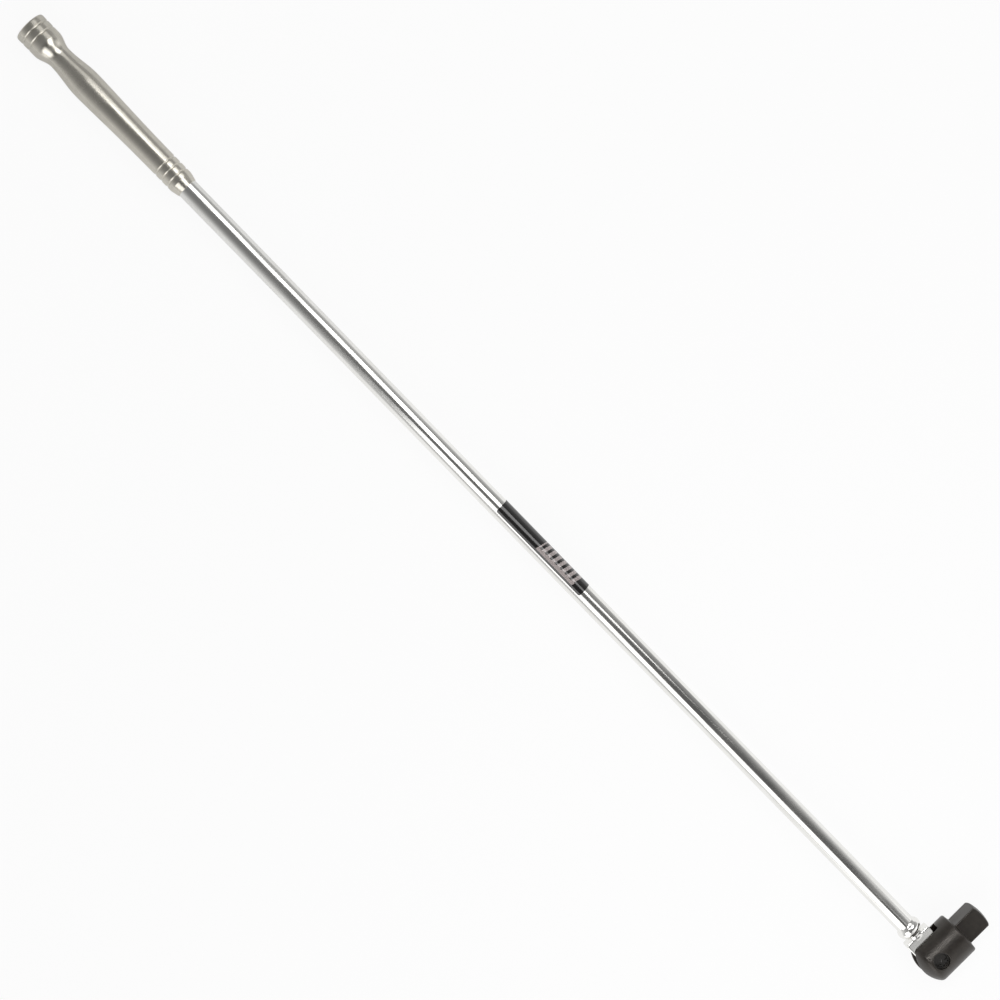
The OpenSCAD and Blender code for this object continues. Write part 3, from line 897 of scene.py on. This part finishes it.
def makeHead(h):
    pinY = barY / mm

    def shape(x, y, z):
        around = np.hypot(x, z)
        footDome = np.hypot(around, y - h["foot"] - h["domeRadius"]) - h["domeRadius"]
        solid = roundCut(roundCut(around - h["radius"], footDome, h["domeEdge"]), y, h["shoulderEdge"])
        rootCone = (around + y - h["cornerRadius"] - h["rootHeight"]) / math.sqrt(2)
        root = roundCut(rootCone, y - h["rootHeight"], h["rootEdge"])
        root = np.maximum(root, h["rootDepth"] - y)
        flats = roundCut(np.abs(x) - h["driveHalf"], np.abs(z) - h["driveHalf"], h["flatsEdge"])
        drive = roundCut(flats, around - h["cornerRadius"], h["driveEdge"])
        tipDome = np.hypot(around, y - h["driveLength"] + h["tipRadius"]) - h["tipRadius"]
        chamfer = (around - h["cornerRadius"] + y - h["driveLength"] + h["tipChamfer"]) / math.sqrt(2)
        tip = roundCut(tipDome, chamfer, h["tipEdge"])
        drive = np.maximum(roundCut(drive, tip, h["tipEdge"]), h["rootDepth"] - y)
        solid = roundJoin(roundJoin(solid, root, h["rootFillet"]), drive, h["rootFillet"])
        slot = roundCut(np.abs(z) - h["slotHalf"], y - h["slotEnd"], h["slotCorner"])
        solid = roundCut(solid, -slot, h["slotEdge"])
        pinAround, up = np.hypot(x, y - pinY), np.abs(z)
        ringBore = np.maximum(pinAround - h["ringBore"], h["ringFrom"] - up)
        ringSpan = np.maximum(h["ringFrom"] - up, up - h["ringTo"])
        ringGroove = np.maximum(pinAround - h["ringGroove"], ringSpan)
        bore = np.minimum(np.minimum(pinAround - h["pinHole"], ringBore), ringGroove)
        solid = roundCut(solid, -bore, h["boreEdge"])
        plunger = np.maximum(around - h["plungerBore"], y - h["plungerEnd"])
        ballAround = np.hypot(y - h["ballY"], z)
        mouth = np.maximum(ballAround - h["ballMouth"], -x)
        ballDepth = np.maximum(x - h["driveHalf"] + h["ballLip"], h["ballFrom"] - x)
        ballHole = np.maximum(ballAround - h["ballHole"], ballDepth)
        solid = roundCut(solid, -mouth, h["ballEdge"])
        return np.maximum(solid, -np.minimum(plunger, ballHole))

    mesh = forge("clevisHead", shape, (headLow, headHigh), h["cell"])
    finishPiece("clevisHead", mesh, blackPhosphate, "head", ["clevis_head"])


makeHead(head)

pin = {"radius": 5.5, "bevel": 0.6, "edge": 0.2,      # millimetres
       "markRadius": 1.3, "markDepth": 0.9, "markRound": 0.15}


def makePin(p):
    low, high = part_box("hinge_pin")
    half = (high.z - low.z) / 2 / mm
    end = [(half - p["markDepth"], 0, 0), (half, p["markRadius"], p["markRound"]),
           (half, p["radius"] - p["bevel"], p["edge"]), (half - p["bevel"], p["radius"], p["edge"])]
    corners = end + [(-a, r, rounding) for a, r, rounding in reversed(end)]
    outline = [(a * mm, r * mm) for a, r in softened(corners)]
    mesh = turnOnLathe("hingePin", outline, (0, barY, 0), "z", segments=96)
    finishPiece("hingePin", mesh, darkSteel, "head", ["hinge_pin"], sharp=40)


makePin(pin)

retainingRing = {      # millimetres and degrees
    "outer": 6.82, "width": 1.6, "thickness": 1.0, "edge": 0.12, "opening": 50.0,
    "lugAt": 4.87, "lugRadius": 1.6, "hole": 0.6,
    "outerSteps": 96, "innerSteps": 80, "lugSteps": 40, "holeSteps": 24,
    "weld": 0.002,      # joins the points that filling the outline leaves double
}


def makeRing(name, node, r):
    low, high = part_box(node)
    lugAt, lugRadius, inner = r["lugAt"], r["lugRadius"], r["outer"] - r["width"]
    turn = math.radians(r["opening"] / 2) + math.asin(lugRadius / lugAt)
    curve = bpy.data.curves.new(name, "CURVE")
    curve.dimensions, curve.fill_mode = "2D", "BOTH"
    curve.extrude = (r["thickness"] / 2 - r["edge"]) * mm
    curve.bevel_depth, curve.bevel_resolution, curve.offset = r["edge"] * mm, 2, -r["edge"] * mm

    def arc(radius, start, sweep, steps, x=0.0, y=0.0):
        turns = [start + sweep * k / steps for k in range(steps + 1)]
        return [(x + radius * math.cos(a), y + radius * math.sin(a)) for a in turns]

    lugX, lugY = lugAt * math.cos(turn), -lugAt * math.sin(turn)
    meets = math.acos((inner ** 2 - lugAt ** 2 - lugRadius ** 2) / (2 * lugAt * lugRadius))
    shift = turn + math.asin(lugRadius * math.sin(meets) / inner)      # where a lug runs into the inside
    lug = arc(lugRadius, -turn, 2 * math.pi - meets, r["lugSteps"], lugX, lugY)
    path = arc(r["outer"], turn, 2 * math.pi - 2 * turn, r["outerSteps"]) + lug      # the long way round
    path += arc(inner, -shift, 2 * shift - 2 * math.pi, r["innerSteps"])[1:-1]
    path += [(x, -y) for x, y in reversed(lug)]
    holes = [arc(r["hole"], 0.0, 2 * math.pi, r["holeSteps"], lugX, y)[:-1] for y in (lugY, -lugY)]
    for points in [path] + holes:
        spline = curve.splines.new("POLY")
        spline.points.add(len(points) - 1)
        for spot, (x, y) in zip(spline.points, points):
            spot.co = (x * mm, y * mm, 0, 1)
        spline.use_cyclic_u = True
    flat = bpy.data.objects.new(name + "Outline", curve)
    scene.collection.objects.link(flat)
    bpy.context.view_layer.update()
    mesh = bpy.data.meshes.new_from_object(flat)
    bpy.data.objects.remove(flat)
    mesh.name = name
    bm = bmesh.new()
    bm.from_mesh(mesh)
    bmesh.ops.remove_doubles(bm, verts=bm.verts, dist=r["weld"] * mm)
    bm.to_mesh(mesh)
    bm.free()
    mesh.transform(Matrix.Translation((0, barY, (low.z + high.z) / 2)))
    finishPiece(name, mesh, darkSteel, "head", [node], sharp=40)


makeRing("upperRetainingRing", "upper_retaining_ring", retainingRing)
makeRing("lowerRetainingRing", "lower_retaining_ring", retainingRing)
print("head, pin and rings made")

# the plunger and the ball, each with its spring inside the head

coilSprings = {      # millimetres; axis 0 is X and 1 is Y, and coil and wire are radii
    "frictionSpring": {"node": "friction_spring", "joint": "plunger_press", "axis": 1,
                       "coil": 2.5, "wire": 0.5, "turns": 6, "seat": 6.6, "travel": 1.5},
    "driveBallSpring": {"node": "drive_ball_spring", "joint": "ball_press", "axis": 0,
                        "coil": 2.6, "wire": 0.3, "turns": 5, "seat": -2.475, "travel": 1.4},
}
stepsPerTurn, wireSides = 28, 12


def windSpring(name, s):
    low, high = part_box(s["node"])
    axis = s["axis"]
    up = Vector([1.0 if i == axis else 0.0 for i in range(3)])
    side, other = Vector((0, 0, 1)), up.cross(Vector((0, 0, 1)))
    centre = Vector((0, head["ballY"] * mm, 0))      # the axis value is the foot of the coil
    centre[axis] = low[axis] + s["wire"] * mm
    climb = high[axis] - low[axis] - 2 * s["wire"] * mm
    steps, sides = stepsPerTurn * s["turns"], wireSides
    verts, faces = [], []
    for i in range(steps + 1):
        turn = 2 * math.pi * s["turns"] * i / steps
        out = side * math.cos(turn) + other * math.sin(turn)
        for k in range(sides):
            a = 2 * math.pi * k / sides
            reach = (s["coil"] + s["wire"] * math.cos(a)) * mm
            verts.append(centre + out * reach + up * (climb * i / steps + s["wire"] * mm * math.sin(a)))
    for i in range(steps):
        for k in range(sides):
            n = (k + 1) % sides
            faces.append([i * sides + k, i * sides + n, (i + 1) * sides + n, (i + 1) * sides + k])
    faces += [list(range(sides)), list(range(steps * sides, (steps + 1) * sides))]
    mesh = bpy.data.meshes.new(name)
    mesh.from_pydata(verts, [], faces)
    turnFacesOutward(mesh)
    spring = finishPiece(name, mesh, springSteel, "head", [s["node"]], sharp=40)
    anchor = centre.copy()
    anchor[axis] = s["seat"] * mm
    reach = max(abs(low[axis] - anchor[axis]), abs(high[axis] - anchor[axis]))
    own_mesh(spring)


for name, s in coilSprings.items():
    windSpring(name, s)

for node, finish in (("friction_plunger", springSteel), ("drive_ball", ballSteel)):
    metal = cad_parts[node].data.materials
    metal.clear()
    metal.append(finish)
print("plunger, ball and springs made")
